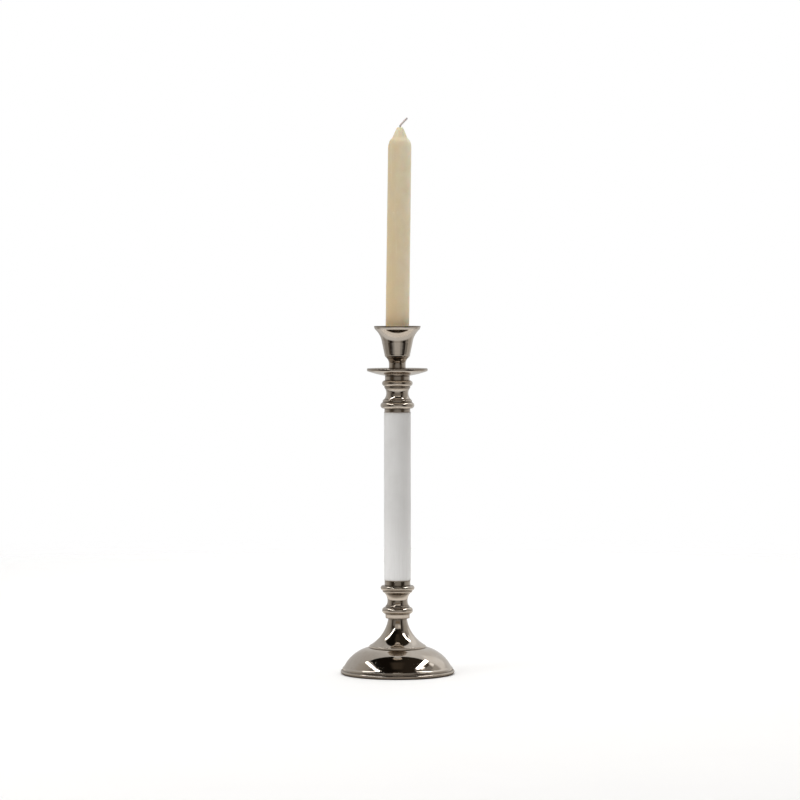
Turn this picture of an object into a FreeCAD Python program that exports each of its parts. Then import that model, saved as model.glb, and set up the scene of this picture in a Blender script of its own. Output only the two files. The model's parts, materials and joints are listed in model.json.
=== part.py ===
import FreeCAD, Part

import math
import os

import Sketcher

# A plated pillar candlestick with its dinner candle. The origin is the centre of the resting face,
# under the foot, and +Z points up. Every piece of the stick is turned about the Z axis, and one
# threaded rod clamps the whole stack between a nut in the hollow foot and the candle cup.

# Driving dimensions: millimetres, and degrees for the two angles.
DIMENSIONS = {
    # threaded rod and its fasteners, metric size 6
    "rod_radius": 2.95,
    "rod_end_chamfer": 0.7,
    "rod_below_nut": 3.0,
    "rod_short_of_bore_end": 0.7,
    "thread_hole_radius": 3.0,
    "clearance_hole_radius": 3.3,
    "nut_across_flats": 10.0,
    "nut_height": 5.0,
    "spring_washer_radius": 5.9,
    "spring_washer_thickness": 1.6,
    "spring_washer_slit": 1.0,
    "flat_washer_radius": 9.0,
    "flat_washer_thickness": 1.6,
    # felt ring under the rim
    "felt_thickness": 0.6,
    "felt_inner_radius": 47.9,
    "felt_outer_radius": 51.6,
    # foot
    "foot_height": 51.3,
    "bead_radius": 1.5,
    "bead_centre_radius": 51.6,
    "cove_edge_radius": 51.25,
    "cove_edge_height": 5.6,
    "cove_arc": 5.5,
    "dome_edge_radius": 48.8,
    "dome_edge_height": 8.2,
    "dome_arc": 34.5,
    "crease_outer_radius": 27.4,
    "crease_low_height": 23.9,
    "crease_radius": 26.4,
    "crease_height": 25.6,
    "neck_radius": 8.65,
    "neck_arc": 34.2,
    "rim_inner_radius": 47.5,
    "rim_inner_height": 5.0,
    "dome_inner_arc": 33.0,
    "web_edge_radius": 25.0,
    "web_edge_height": 21.6,
    "seat_radius": 10.6,
    "seat_height": 31.4,
    # plain collars at both ends of the stick
    "collar_radius": 11.5,
    "collar_foot_radius": 11.1,
    "lower_collar_height": 4.2,
    "upper_collar_height": 4.4,
    "edge_break": 0.25,
    # lower knop, its heights counted from the column
    "lower_knop_height": 26.2,
    "lower_big_ring_radius": 13.9,
    "lower_big_ring_height": 4.4,
    "lower_big_ring_arc": 2.22,
    "lower_step_top": 5.9,
    "lower_waist_start_radius": 11.6,
    "lower_waist_start": 7.4,
    "lower_waist_arc": 10.4,
    "lower_waist_end_radius": 10.7,
    "lower_waist_end": 18.9,
    "lower_bead_radius": 11.3,
    "lower_small_ring_start": 20.3,
    "lower_small_ring_arc": 3.15,
    # upper knop, its heights counted from the column
    "upper_knop_height": 26.0,
    "upper_big_ring_radius": 13.7,
    "upper_big_ring_height": 5.7,
    "upper_big_ring_arc": 3.0,
    "upper_step_top": 7.7,
    "upper_waist_start_radius": 12.4,
    "upper_waist_start": 8.5,
    "upper_waist_arc": 8.6,
    "upper_waist_end_radius": 11.7,
    "upper_waist_end": 18.9,
    "upper_bead_radius": 12.1,
    "upper_small_ring_start": 20.8,
    "upper_small_ring_arc": 2.7,
    # both knops
    "step_drop": 0.15,
    "small_ring_radius": 12.4,
    # column and its end caps
    "column_radius": 12.45,
    "column_bore_radius": 11.0,
    "column_height": 156.8,
    "ferrule_radius": 12.05,
    "lower_ferrule_height": 4.6,
    "upper_ferrule_height": 3.1,
    "spigot_radius": 10.8,
    "spigot_height": 6.0,
    "gasket_thickness": 0.3,
    "gasket_inner_radius": 11.1,
    "gasket_outer_radius": 11.9,
    # drip pan
    "pan_boss_radius": 11.5,
    "pan_under_arc": 90.0,
    "pan_rim_edge_radius": 27.9,
    "pan_rim_under_height": 4.2,
    "pan_rim_top_height": 6.8,
    "pan_rim_arc": 2.4,
    "pan_dish_edge_radius": 25.3,
    "pan_dish_height": 6.0,
    # candle cup
    "stem_foot_radius": 8.0,
    "stem_radius": 7.8,
    "stem_top": 4.5,
    "stem_arc": 9.1,
    "bowl_bottom_radius": 10.0,
    "bowl_bottom": 10.6,
    "bowl_corner_arc": 3.6,
    "bowl_side_radius": 11.9,
    "bowl_side": 13.7,
    "flare_start_radius": 14.3,
    "flare_start": 25.1,
    "flare_arc": 19.5,
    "lip_under_radius": 20.9,
    "lip_under": 37.2,
    "lip_radius": 21.65,
    "lip_side": 39.1,
    "lip_inner_radius": 20.6,
    "cup_height": 40.2,
    "cup_thread_depth": 12.8,
    "drill_point_height": 1.7,
    "socket_floor": 18.2,
    "socket_radius": 11.4,
    "socket_straight": 6.0,
    "socket_flare_arc": 24.0,
    # candle
    "candle_radius": 11.0,
    "candle_top_radius": 10.87,
    "candle_foot_break": 0.5,
    "candle_shoulder": 186.7,
    "shoulder_arc": 17.0,
    "shoulder_end_radius": 9.3,
    "shoulder_end": 193.8,
    "tip_root_radius": 7.4,
    "tip_root": 196.0,
    "tip_root_arc": 4.0,
    "tip_cone_radius": 6.5,
    "tip_cone": 197.7,
    "tip_side_radius": 3.4,
    "tip_side": 204.6,
    "tip_arc": 2.6,
    "candle_height": 206.3,
    "candle_lean": 0.8,
    "candle_shift": 0.2,
    "candle_rest_gap": 0.3,
    # wick
    "wick_radius": 1.05,
    "wick_hole_radius": 1.1,
    "wick_start": 2.0,
    "wick_bend_height": 206.6,
    "wick_bend_arc": 2.8,
    "wick_bend_angle": 43.0,
    "wick_end_length": 8.9,
}

document = FreeCAD.newDocument("candlestick")
sheet = document.addObject("Spreadsheet::Sheet", "Sizes")
for row, (alias, value) in enumerate(DIMENSIONS.items(), start=1):
    sheet.set(f"A{row}", alias)
    sheet.set(f"B{row}", str(value))
    sheet.setAlias(f"B{row}", alias)
document.recompute()


class Size:
    """A length with its value in millimetres and the sheet expression that gives it."""

    def __init__(self, value, text):
        self.value = value
        self.text = text

    def __add__(self, other):
        return Size(self.value + other.value, f"({self.text} + {other.text})")

    def __sub__(self, other):
        return Size(self.value - other.value, f"({self.text} - {other.text})")

    def __mul__(self, factor):
        return Size(self.value * factor, f"({self.text} * {factor})")


def size(alias):
    return Size(DIMENSIONS[alias], f"Sizes.{alias}")


ZERO = Size(0.0, "0")
IN = -1  # an arc whose centre lies on the side of the axis, so a bulge on an outer face
OUT = 1  # an arc whose centre lies away from the axis, so a hollow on an outer face


def origin_plane(body, role):
    return next(item for item in body.Origin.OriginFeatures if item.Role == role)


def new_body(name):
    body = document.addObject("PartDesign::Body", name)
    body.Label = name
    return body


def new_sketch(body, name, role="XZ_Plane"):
    sketch = body.newObject("Sketcher::SketchObject", name)
    sketch.AttachmentSupport = [(origin_plane(body, role), "")]
    sketch.MapMode = "FlatFace"
    return sketch


def drive(sketch, constraint, expression):
    """Adds a constraint whose value follows the sheet."""
    index = sketch.addConstraint(constraint)
    sketch.setExpression(f"Constraints[{index}]", expression)


def arc_between(start, end, radius, side):
    """The arc from start to end, and whether it runs counterclockwise from start."""
    middle = (start + end) * 0.5
    chord = end - start
    across = FreeCAD.Vector(chord.y, -chord.x, 0).normalize()
    if (across.x > 0) != (side == OUT):
        across = across * -1
    reach = math.sqrt(radius**2 - (chord.Length / 2) ** 2)
    centre = middle + across * reach
    circle = Part.Circle(centre, FreeCAD.Vector(0, 0, 1), radius)
    from_centre = start - centre
    to_centre = end - centre
    counterclockwise = from_centre.cross(to_centre).z > 0
    first, last = (from_centre, to_centre) if counterclockwise else (to_centre, from_centre)
    first_angle = math.atan2(first.y, first.x)
    last_angle = math.atan2(last.y, last.x)
    return Part.ArcOfCircle(circle, first_angle, last_angle), counterclockwise


def draw_outline(sketch, outline):
    """Draws a closed outline of radius and height pairs, each tied to the sheet.

    An entry is (radius, height) for a straight run to that corner, or (radius, height, arc, side)
    for an arc to it.
    """
    edges = []
    for index, corner in enumerate(outline):
        before = outline[index - 1]
        start = FreeCAD.Vector(before[0].value, before[1].value, 0)
        end = FreeCAD.Vector(corner[0].value, corner[1].value, 0)
        if len(corner) == 4:
            curve, forward = arc_between(start, end, corner[2].value, corner[3])
        else:
            curve, forward = Part.LineSegment(start, end), True
        edge = sketch.addGeometry(curve, False)
        first_end, last_end = (1, 2) if forward else (2, 1)
        edges.append((edge, first_end, last_end))
    for index, corner in enumerate(outline):
        edge, _, last_end = edges[index]
        following, first_end, _ = edges[(index + 1) % len(edges)]
        sketch.addConstraint(
            Sketcher.Constraint("Coincident", edge, last_end, following, first_end)
        )
        for kind, axis, length in (("DistanceX", -2, corner[0]), ("DistanceY", -1, corner[1])):
            if length is ZERO:
                sketch.addConstraint(Sketcher.Constraint("PointOnObject", edge, last_end, axis))
            else:
                distance = Sketcher.Constraint(kind, -1, 1, edge, last_end, length.value)
                drive(sketch, distance, length.text)
        if len(corner) == 4:
            drive(sketch, Sketcher.Constraint("Radius", edge, corner[2].value), corner[2].text)


def turned(name, height, outline, flipped=False):
    """A body turned about Z from one outline, standing at a height, or hanging from it if flipped."""
    body = new_body(name)
    sketch = new_sketch(body, name + "_outline")
    draw_outline(sketch, outline)
    turning = body.newObject("PartDesign::Revolution", name + "_turning")
    turning.Profile = sketch
    turning.ReferenceAxis = (sketch, ["V_Axis"])
    turning.Angle = 360.0
    if flipped:
        body.Placement.Rotation = FreeCAD.Rotation(FreeCAD.Vector(1, 0, 0), 180)
    body.setExpression("Placement.Base.z", height.text)
    return body


def ring(name, height, inner, outer, thickness):
    """A flat ring of square section."""
    outline = [(inner, ZERO), (outer, ZERO), (outer, thickness), (inner, thickness)]
    return turned(name, height, outline)


def foot(height):
    """Hollow dome with a beaded rim and a concave neck. The nut bears on the seat inside it."""
    bead = size("bead_radius")
    crease_low = size("crease_low_height")
    outline = [
        (size("clearance_hole_radius"), size("foot_height")),
        (size("clearance_hole_radius"), size("seat_height")),
        (size("seat_radius"), size("seat_height")),
        (size("web_edge_radius"), size("web_edge_height")),
        (size("rim_inner_radius"), size("rim_inner_height"), size("dome_inner_arc"), IN),
        (size("rim_inner_radius"), ZERO),
        (size("bead_centre_radius"), ZERO),
        (size("bead_centre_radius") + bead, bead, bead, IN),
        (size("bead_centre_radius"), bead * 2, bead, IN),
        (size("cove_edge_radius"), size("cove_edge_height")),
        (size("dome_edge_radius"), size("dome_edge_height"), size("cove_arc"), OUT),
        (size("crease_outer_radius"), crease_low, size("dome_arc"), IN),
        (size("crease_radius"), crease_low),
        (size("crease_radius"), size("crease_height")),
        (size("neck_radius"), size("foot_height"), size("neck_arc"), OUT),
    ]
    return turned("foot", height, outline)


def collar(name, height, length, lower_radius, upper_radius):
    """A short plain spacer, its edges broken."""
    bore = size("clearance_hole_radius")
    edge = size("edge_break")
    outline = [
        (bore, length),
        (bore, ZERO),
        (lower_radius - edge, ZERO),
        (lower_radius, edge),
        (upper_radius, length - edge),
        (upper_radius - edge, length),
    ]
    return turned(name, height, outline)


def knop(end, height, flipped):
    """Turned casting: big ring and step on the column's side, waist, bead, then a small ring."""
    bore = size("clearance_hole_radius")
    edge = size("edge_break")
    length = size(end + "_knop_height")
    big_ring = size(end + "_big_ring_radius")
    bead = size(end + "_bead_radius")
    waist_end = size(end + "_waist_end")
    ring_start = size(end + "_small_ring_start")
    small_ring = size("small_ring_radius")
    outline = [
        (bore, length),
        (bore, ZERO),
        (big_ring, ZERO),
        (big_ring, size(end + "_big_ring_height"), size(end + "_big_ring_arc"), IN),
        (big_ring - size("step_drop"), size(end + "_step_top")),
        (size(end + "_waist_start_radius"), size(end + "_waist_start")),
        (size(end + "_waist_end_radius"), waist_end, size(end + "_waist_arc"), OUT),
        (bead, waist_end + edge),
        (bead, ring_start),
        (small_ring, ring_start),
        (small_ring - edge, length, size(end + "_small_ring_arc"), IN),
    ]
    return turned(end + "_knop", height, outline, flipped)


def ferrule(name, height, band, flipped):
    """End cap of the column: a visible band, and a spigot that centres the tube."""
    bore = size("clearance_hole_radius")
    edge = size("edge_break")
    radius = size("ferrule_radius")
    spigot = size("spigot_radius")
    top = band + size("spigot_height")
    outline = [
        (bore, top),
        (bore, ZERO),
        (radius, ZERO),
        (radius, band - edge),
        (radius - edge, band),
        (spigot, band),
        (spigot, top - edge),
        (spigot - edge, top),
    ]
    return turned(name, height, outline, flipped)


def drip_pan(height):
    """Shallow dish with a rounded rim, thick in the middle where the stack clamps it."""
    bore = size("clearance_hole_radius")
    rim = size("pan_rim_edge_radius")
    outline = [
        (bore, size("pan_dish_height")),
        (bore, ZERO),
        (size("pan_boss_radius"), ZERO),
        (rim, size("pan_rim_under_height"), size("pan_under_arc"), IN),
        (rim, size("pan_rim_top_height"), size("pan_rim_arc"), IN),
        (size("pan_dish_edge_radius"), size("pan_dish_height")),
    ]
    return turned("drip_pan", height, outline)


def candle_cup(height):
    """Tulip cup and its stem in one casting, tapped from below and bored for the candle."""
    thread = size("thread_hole_radius")
    thread_end = size("cup_thread_depth")
    socket = size("socket_radius")
    floor = size("socket_floor")
    outline = [
        (ZERO, thread_end + size("drill_point_height")),
        (thread, thread_end),
        (thread, ZERO),
        (size("stem_foot_radius"), ZERO),
        (size("stem_radius"), size("edge_break") * 3),
        (size("stem_radius"), size("stem_top")),
        (size("bowl_bottom_radius"), size("bowl_bottom"), size("stem_arc"), OUT),
        (size("bowl_side_radius"), size("bowl_side"), size("bowl_corner_arc"), IN),
        (size("flare_start_radius"), size("flare_start")),
        (size("lip_under_radius"), size("lip_under"), size("flare_arc"), OUT),
        (size("lip_radius"), size("lip_side")),
        (size("lip_radius"), size("cup_height") - size("edge_break")),
        (size("lip_radius") - size("edge_break"), size("cup_height")),
        (size("lip_inner_radius"), size("cup_height")),
        (socket, floor + size("socket_straight"), size("socket_flare_arc"), OUT),
        (socket, floor),
        (ZERO, floor),
    ]
    return turned("candle_cup", height, outline)


def tie_rod(height, length):
    """Threaded rod, drawn as a plain bar of the thread's outer diameter."""
    radius = size("rod_radius")
    chamfer = size("rod_end_chamfer")
    outline = [
        (ZERO, length),
        (ZERO, ZERO),
        (radius - chamfer, ZERO),
        (radius, chamfer),
        (radius, length - chamfer),
        (radius - chamfer, length),
    ]
    return turned("tie_rod", height, outline)


def rod_nut(height):
    """Hexagon nut: six sides padded up, then the corners turned back on both faces."""
    body = new_body("rod_nut")
    corner = size("nut_across_flats") * (1 / math.sqrt(3))
    flat = size("nut_across_flats") * 0.5
    nut_height = size("nut_height")

    hexagon = new_sketch(body, "nut_hexagon", "XY_Plane")
    points = [
        FreeCAD.Vector(math.cos(math.radians(60 * side)), math.sin(math.radians(60 * side)), 0)
        * corner.value
        for side in range(6)
    ]
    for side in range(6):
        hexagon.addGeometry(Part.LineSegment(points[side], points[(side + 1) % 6]), False)
    middle = FreeCAD.Vector(0, 0, 0)
    up = FreeCAD.Vector(0, 0, 1)
    around = hexagon.addGeometry(Part.Circle(middle, up, corner.value), True)
    hole = hexagon.addGeometry(Part.Circle(middle, up, size("thread_hole_radius").value), False)
    for side in range(6):
        following = (side + 1) % 6
        hexagon.addConstraint(Sketcher.Constraint("Coincident", side, 2, following, 1))
        hexagon.addConstraint(Sketcher.Constraint("PointOnObject", side, 2, around))
    for side in range(1, 6):
        hexagon.addConstraint(Sketcher.Constraint("Equal", 0, side))
    hexagon.addConstraint(Sketcher.Constraint("Horizontal", 1))
    for circle in (around, hole):
        hexagon.addConstraint(Sketcher.Constraint("Coincident", circle, 3, -1, 1))
    drive(hexagon, Sketcher.Constraint("Radius", around, corner.value), corner.text)
    thread = size("thread_hole_radius")
    drive(hexagon, Sketcher.Constraint("Radius", hole, thread.value), thread.text)

    pad = body.newObject("PartDesign::Pad", "nut_pad")
    pad.Profile = hexagon
    pad.setExpression("Length", nut_height.text)
    document.recompute()

    corners = new_sketch(body, "nut_corners")
    beyond = corner + size("edge_break") * 2
    drop = (beyond - flat) * math.tan(math.radians(30))
    draw_outline(corners, [(flat, ZERO), (beyond, ZERO), (beyond, drop)])
    draw_outline(corners, [(flat, nut_height), (beyond, nut_height), (beyond, nut_height - drop)])
    groove = body.newObject("PartDesign::Groove", "nut_corner_turning")
    groove.Profile = corners
    groove.ReferenceAxis = (corners, ["V_Axis"])
    groove.Angle = 360.0
    body.setExpression("Placement.Base.z", height.text)
    document.recompute()
    if not groove.Shape.Volume < pad.Shape.Volume:
        raise RuntimeError("the nut's corners were not turned back")
    return body


def spring_washer(height):
    """Split lock washer, pressed flat by the nut."""
    outer = size("spring_washer_radius")
    thickness = size("spring_washer_thickness")
    body = ring("spring_washer", height, size("clearance_hole_radius"), outer, thickness)
    whole = body.Tip
    document.recompute()

    slit = new_sketch(body, "washer_slit", "XY_Plane")
    half = size("spring_washer_slit") * 0.5
    inner_end = size("rod_radius") * 0.5
    corners = [(inner_end, -1), (outer * 1.2, -1), (outer * 1.2, 1), (inner_end, 1)]
    places = [FreeCAD.Vector(reach.value, half.value * sign, 0) for reach, sign in corners]
    for index in range(4):
        slit.addGeometry(Part.LineSegment(places[index - 1], places[index]), False)
    for index, (reach, sign) in enumerate(corners):
        slit.addConstraint(Sketcher.Constraint("Coincident", index, 2, (index + 1) % 4, 1))
        across = Sketcher.Constraint("DistanceX", -1, 1, index, 2, reach.value)
        drive(slit, across, reach.text)
        aside = Sketcher.Constraint("DistanceY", -1, 1, index, 2, half.value * sign)
        drive(slit, aside, f"{half.text} * {sign}")
    pocket = body.newObject("PartDesign::Pocket", "washer_slit_cut")
    pocket.Profile = slit
    pocket.Type = "ThroughAll"
    pocket.Reversed = True
    document.recompute()
    if not pocket.Shape.Volume < whole.Shape.Volume:
        raise RuntimeError("the spring washer was not slit")
    return body


def stand_in_cup(body, floor):
    """Stands a body of the candle on the cup's floor, leaning towards +X against one side."""
    lean = "Sizes.candle_lean * 1 deg"
    lifted = floor + size("candle_rest_gap")
    body.Placement.Rotation = FreeCAD.Rotation(FreeCAD.Vector(0, 1, 0), DIMENSIONS["candle_lean"])
    body.setExpression("Placement.Rotation.Angle", lean)
    body.setExpression("Placement.Base.x", "-Sizes.candle_shift")
    body.setExpression("Placement.Base.z", lifted.text)


def candle_wax(floor):
    """Slightly tapered dinner candle with a soft shoulder and a conical tip, cast round its wick."""
    hole = size("wick_hole_radius")
    foot_break = size("candle_foot_break")
    outline = [
        (hole, ZERO),
        (size("candle_radius") - foot_break, ZERO),
        (size("candle_radius"), foot_break),
        (size("candle_top_radius"), size("candle_shoulder")),
        (size("shoulder_end_radius"), size("shoulder_end"), size("shoulder_arc"), IN),
        (size("tip_root_radius"), size("tip_root")),
        (size("tip_cone_radius"), size("tip_cone"), size("tip_root_arc"), OUT),
        (size("tip_side_radius"), size("tip_side")),
        (hole, size("candle_height"), size("tip_arc"), IN),
    ]
    body = turned("candle_wax", floor, outline)
    stand_in_cup(body, floor)
    return body


def candle_wick(floor):
    """Waxed cotton wick through the candle, its free end bent over towards +X."""
    body = new_body("candle_wick")
    radius = size("wick_radius")
    start = size("wick_start")
    bend = size("wick_bend_height")
    arc = size("wick_bend_arc")
    angle = math.radians(DIMENSIONS["wick_bend_angle"])
    along = FreeCAD.Vector(math.sin(angle), math.cos(angle), 0)
    centre = FreeCAD.Vector(arc.value, bend.value, 0)
    bend_end = centre + FreeCAD.Vector(-math.cos(angle), math.sin(angle), 0) * arc.value
    tip = bend_end + along * DIMENSIONS["wick_end_length"]

    path = new_sketch(body, "wick_path")
    low = FreeCAD.Vector(0, start.value, 0)
    high = FreeCAD.Vector(0, bend.value, 0)
    straight = path.addGeometry(Part.LineSegment(low, high), False)
    turn = Part.Circle(centre, FreeCAD.Vector(0, 0, 1), arc.value)
    curve = path.addGeometry(Part.ArcOfCircle(turn, math.pi - angle, math.pi), False)
    free = path.addGeometry(Part.LineSegment(bend_end, tip), False)
    path.addConstraint(Sketcher.Constraint("PointOnObject", straight, 1, -2))
    path.addConstraint(Sketcher.Constraint("Vertical", straight))
    path.addConstraint(Sketcher.Constraint("Tangent", straight, 2, curve, 2))
    path.addConstraint(Sketcher.Constraint("Tangent", curve, 1, free, 1))
    foot_distance = Sketcher.Constraint("DistanceY", -1, 1, straight, 1, start.value)
    drive(path, foot_distance, start.text)
    drive(path, Sketcher.Constraint("DistanceY", -1, 1, straight, 2, bend.value), bend.text)
    drive(path, Sketcher.Constraint("Radius", curve, arc.value), arc.text)
    tip_length = Sketcher.Constraint("Distance", free, DIMENSIONS["wick_end_length"])
    drive(path, tip_length, "Sizes.wick_end_length")
    lean = Sketcher.Constraint("Angle", straight, 2, free, 1, math.pi - angle)
    drive(path, lean, "180 deg - Sizes.wick_bend_angle * 1 deg")

    section = new_sketch(body, "wick_section", "XY_Plane")
    section.AttachmentOffset = FreeCAD.Placement(
        FreeCAD.Vector(0, 0, start.value), FreeCAD.Rotation()
    )
    section.setExpression("AttachmentOffset.Base.z", start.text)
    middle = FreeCAD.Vector(0, 0, 0)
    circle = section.addGeometry(
        Part.Circle(middle, FreeCAD.Vector(0, 0, 1), radius.value), False
    )
    section.addConstraint(Sketcher.Constraint("Coincident", circle, 3, -1, 1))
    drive(section, Sketcher.Constraint("Radius", circle, radius.value), radius.text)

    pipe = body.newObject("PartDesign::AdditivePipe", "wick_pipe")
    pipe.Profile = section
    pipe.Spine = (path, [])
    stand_in_cup(body, floor)
    return body


def build_fasteners(seat):
    """Washers and nut, one under the other, below the seat inside the foot. Returns the nut's base."""
    flat_washer_base = seat - size("flat_washer_thickness")
    bore = size("clearance_hole_radius")
    thickness = size("flat_washer_thickness")
    ring("flat_washer", flat_washer_base, bore, size("flat_washer_radius"), thickness)
    spring_washer_base = flat_washer_base - size("spring_washer_thickness")
    spring_washer(spring_washer_base)
    nut_base = spring_washer_base - size("nut_height")
    rod_nut(nut_base)
    return nut_base


def build_stack():
    """Every piece from the felt upwards, each standing on the one before it."""
    felt_top = size("felt_thickness")
    ring("felt_ring", ZERO, size("felt_inner_radius"), size("felt_outer_radius"), felt_top)
    foot(felt_top)
    nut_base = build_fasteners(felt_top + size("seat_height"))

    level = felt_top + size("foot_height")
    lower_length = size("lower_collar_height")
    collar("lower_collar", level, lower_length, size("collar_foot_radius"), size("collar_radius"))
    level = level + lower_length + size("lower_knop_height")
    knop("lower", level, flipped=True)
    ferrule("lower_ferrule", level, size("lower_ferrule_height"), flipped=False)
    level = level + size("lower_ferrule_height")

    gasket = size("gasket_thickness")
    gasket_radii = (size("gasket_inner_radius"), size("gasket_outer_radius"))
    ring("lower_gasket", level, *gasket_radii, gasket)
    level = level + gasket
    column_radii = (size("column_bore_radius"), size("column_radius"))
    ring("column_tube", level, *column_radii, size("column_height"))
    level = level + size("column_height")
    ring("upper_gasket", level, *gasket_radii, gasket)
    level = level + gasket + size("upper_ferrule_height")

    ferrule("upper_ferrule", level, size("upper_ferrule_height"), flipped=True)
    knop("upper", level, flipped=False)
    level = level + size("upper_knop_height")
    upper_length = size("upper_collar_height")
    collar("upper_collar", level, upper_length, size("collar_radius"), size("collar_radius"))
    level = level + upper_length
    drip_pan(level)
    cup_base = level + size("pan_dish_height")
    candle_cup(cup_base)

    rod_base = nut_base - size("rod_below_nut")
    rod_top = cup_base + size("cup_thread_depth") - size("rod_short_of_bore_end")
    tie_rod(rod_base, rod_top - rod_base)

    floor = cup_base + size("socket_floor")
    candle_wax(floor)
    candle_wick(floor)


def check_and_write():
    """Stops on any failed object or bad solid, then writes each sub-part to its own file."""
    document.recompute()
    for item in document.Objects:
        if "Invalid" in item.State or "Error" in item.State:
            raise RuntimeError(f"{item.Name} failed: {item.State}")
    bodies = [item for item in document.Objects if item.TypeId == "PartDesign::Body"]
    for body in bodies:
        shape = body.Shape
        if shape.isNull() or not shape.isValid() or len(shape.Solids) != 1:
            raise RuntimeError(f"{body.Label} has no good solid")
    os.makedirs("parts", exist_ok=True)
    for body in bodies:
        body.Shape.exportStep(os.path.join("parts", body.Label + ".step"))
        box = body.Shape.optimalBoundingBox()
        volume = body.Shape.Volume / 1000
        print(f"{body.Label:14s} {volume:8.3f} cm3, height {box.ZMin:.2f} to {box.ZMax:.2f}")


build_stack()
check_and_write()
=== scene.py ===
import json
import math

import bpy
import numpy as np
from mathutils import Matrix, Vector


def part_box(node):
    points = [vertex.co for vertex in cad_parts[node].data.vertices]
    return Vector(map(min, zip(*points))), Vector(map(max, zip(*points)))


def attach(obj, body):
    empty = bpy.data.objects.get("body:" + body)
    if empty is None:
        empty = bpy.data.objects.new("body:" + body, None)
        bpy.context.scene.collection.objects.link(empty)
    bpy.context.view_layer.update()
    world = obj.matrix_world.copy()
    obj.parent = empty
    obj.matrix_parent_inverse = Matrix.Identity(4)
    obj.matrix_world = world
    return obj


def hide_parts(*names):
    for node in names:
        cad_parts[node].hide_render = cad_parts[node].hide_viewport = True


# The looks of a plated pillar candlestick and its candle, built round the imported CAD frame.
# The pieces' lengths are written in millimetres and go into the meshes in metres. The camera, the
# floor, the lights and the relief of the materials are in metres.

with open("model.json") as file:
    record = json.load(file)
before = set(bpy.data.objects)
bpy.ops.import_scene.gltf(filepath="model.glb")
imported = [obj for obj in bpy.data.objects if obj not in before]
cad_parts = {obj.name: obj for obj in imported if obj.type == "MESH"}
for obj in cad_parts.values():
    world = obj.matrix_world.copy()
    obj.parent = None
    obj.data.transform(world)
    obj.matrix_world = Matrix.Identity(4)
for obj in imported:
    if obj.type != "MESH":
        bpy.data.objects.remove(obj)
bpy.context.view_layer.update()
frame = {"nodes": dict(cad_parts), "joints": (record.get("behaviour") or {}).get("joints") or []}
scene = bpy.context.scene
scene.view_settings.view_transform = "Standard"

MM = 0.001
IN = -1  # an arc whose centre lies on the side of the axis
OUT = 1  # an arc whose centre lies away from the axis
TINY = 1e-6  # a radius or a gap smaller than this is none
BORE = 3.3  # clearance hole through every clamped piece


# ---------------------------------------------------------------- camera

def place_camera():
    """Three metres in front, a little above the cup, through a long lens, looking slightly down."""
    distance, height, focal_length = 3.0, 0.355, 145.2
    pitch, turn, roll = 0.03326, 0.000818, -0.00083
    data = bpy.data.cameras.new("camera")
    camera = bpy.data.objects.new("camera", data)
    scene.collection.objects.link(camera)
    data.sensor_width = 36.0
    data.lens = focal_length
    data.clip_start = 0.05
    data.clip_end = 50.0
    camera.location = (0.0, -distance, height)
    camera.rotation_mode = "QUATERNION"
    level = math.cos(pitch)
    sight = Vector((math.sin(turn) * level, math.cos(turn) * level, -math.sin(pitch)))
    look = sight.to_track_quat("-Z", "Y").to_matrix()
    camera.rotation_quaternion = (look @ Matrix.Rotation(roll, 3, "Z")).to_quaternion()
    scene.camera = camera


place_camera()


# ---------------------------------------------------------------- node helpers

class Graph:
    """A short way to write a node tree."""

    def __init__(self, tree):
        self.tree = tree
        tree.nodes.clear()

    def add(self, kind, inputs=None, **settings):
        node = self.tree.nodes.new("ShaderNode" + kind)
        for name, value in settings.items():
            setattr(node, name, value)
        for name, value in (inputs or {}).items():
            self.feed(node.inputs[name], value)
        return node

    def feed(self, socket, value):
        if isinstance(value, bpy.types.NodeSocket):
            self.tree.links.new(value, socket)
        else:
            socket.default_value = value

    def math(self, operation, *values, clamp=False):
        node = self.add("Math", dict(enumerate(values)), operation=operation, use_clamp=clamp)
        return node.outputs[0]

    def sum(self, *values):
        total = values[0]
        for value in values[1:]:
            total = self.math("ADD", total, value)
        return total

    def times(self, *values):
        total = values[0]
        for value in values[1:]:
            total = self.math("MULTIPLY", total, value)
        return total

    def step(self, value, low, high):
        """Goes smoothly from 0 at low to 1 at high."""
        inputs = {"Value": value, "From Min": low, "From Max": high}
        return self.add("MapRange", inputs, interpolation_type="SMOOTHSTEP").outputs["Result"]

    def noise(self, vector, scale, detail, roughness=0.5, distortion=0.0):
        inputs = {
            "Vector": vector,
            "Scale": scale,
            "Detail": detail,
            "Roughness": roughness,
            "Distortion": distortion,
        }
        return self.add("TexNoise", inputs).outputs[0]

    def specks(self, vector, scale, size):
        """1 in the middle of scattered dots and 0 between them."""
        dots = self.add("TexVoronoi", {"Vector": vector, "Scale": scale, "Randomness": 1.0})
        return self.step(dots.outputs["Distance"], size, size * 0.4)

    def mix(self, share, first, second):
        node = self.add("Mix", {0: share, 6: first, 7: second}, data_type="RGBA")
        return node.outputs[2]

    def ramp(self, value, stops):
        """A colour that runs through stops, each a place from 0 to 1 and its colour."""
        node = self.add("ValToRGB", {"Fac": value})
        elements = node.color_ramp.elements
        while len(elements) < len(stops):
            elements.new(0.5)
        for element, (place, colour) in zip(elements, stops):
            element.position = place
            element.color = colour
        return node.outputs["Color"]

    def split(self, vector):
        node = self.add("SeparateXYZ", {0: vector})
        return node.outputs[0], node.outputs[1], node.outputs[2]

    def join(self, x, y, z):
        return self.add("CombineXYZ", {0: x, 1: y, 2: z}).outputs[0]

    def attribute(self, name):
        return self.add("Attribute", attribute_name=name).outputs["Fac"]

    def bump(self, height, strength, distance, under=None):
        inputs = {"Height": height, "Strength": strength, "Distance": distance}
        if under is not None:
            inputs["Normal"] = under
        return self.add("Bump", inputs).outputs[0]


def rgb(red, green, blue):
    return (red, green, blue, 1.0)


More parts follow.
